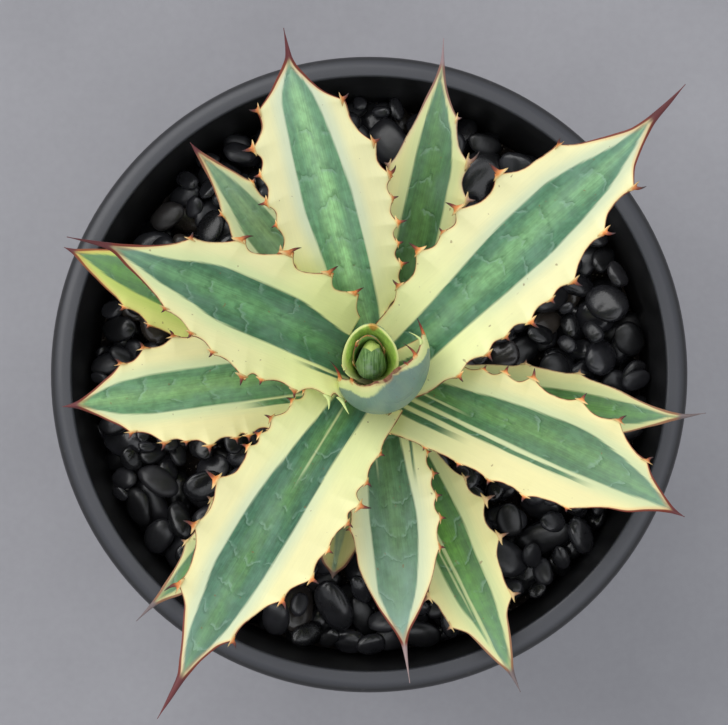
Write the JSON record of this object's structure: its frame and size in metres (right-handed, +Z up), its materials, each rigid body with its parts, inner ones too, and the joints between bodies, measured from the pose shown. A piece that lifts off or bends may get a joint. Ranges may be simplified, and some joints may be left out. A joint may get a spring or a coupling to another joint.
{
  "type": "potted agave",
  "caption": "Variegated agave rosette with toothed, spine-tipped leaves in a round black nursery pot topped with dark polished pebbles.",
  "frame": {"origin": "centre of the pot's underside", "axes": "+Z up along the pot's axis; +Y towards the top of the picture that the plant was seen in from above, +X to its right"},
  "size_m": [0.1672, 0.1685, 0.2311],
  "materials": {
    "black_plastic": "satin moulded plastic",
    "potting_mix": "dark crumbly mix",
    "black_pebbles": "polished",
    "stem_tissue": "dull",
    "leaf_tissue": "waxy green with cream margins",
    "young_leaf_tissue": "waxy bright green"
  },
  "bodies": {
    "root": {"pot": "black_plastic", "soil": "potting_mix", "gravel_bed": "black_pebbles", "stem": "stem_tissue", "inner_leaf_west": "leaf_tissue", "inner_leaf_northeast": "leaf_tissue", "inner_leaf_southwest": "leaf_tissue", "inner_leaf_north": "leaf_tissue", "inner_leaf_southeast": "leaf_tissue", "middle_leaf_west": "leaf_tissue", "middle_leaf_north": "leaf_tissue", "middle_leaf_south": "leaf_tissue", "outer_leaf_northwest": "leaf_tissue", "outer_leaf_east": "leaf_tissue", "outer_leaf_southwest": "leaf_tissue", "outer_leaf_south": "leaf_tissue", "outer_leaf_west": "leaf_tissue", "lowest_leaf_south": "leaf_tissue", "young_leaf": "leaf_tissue", "bud_outer_leaf": "young_leaf_tissue", "bud_core": "young_leaf_tissue"}
  },
  "joints": []
}
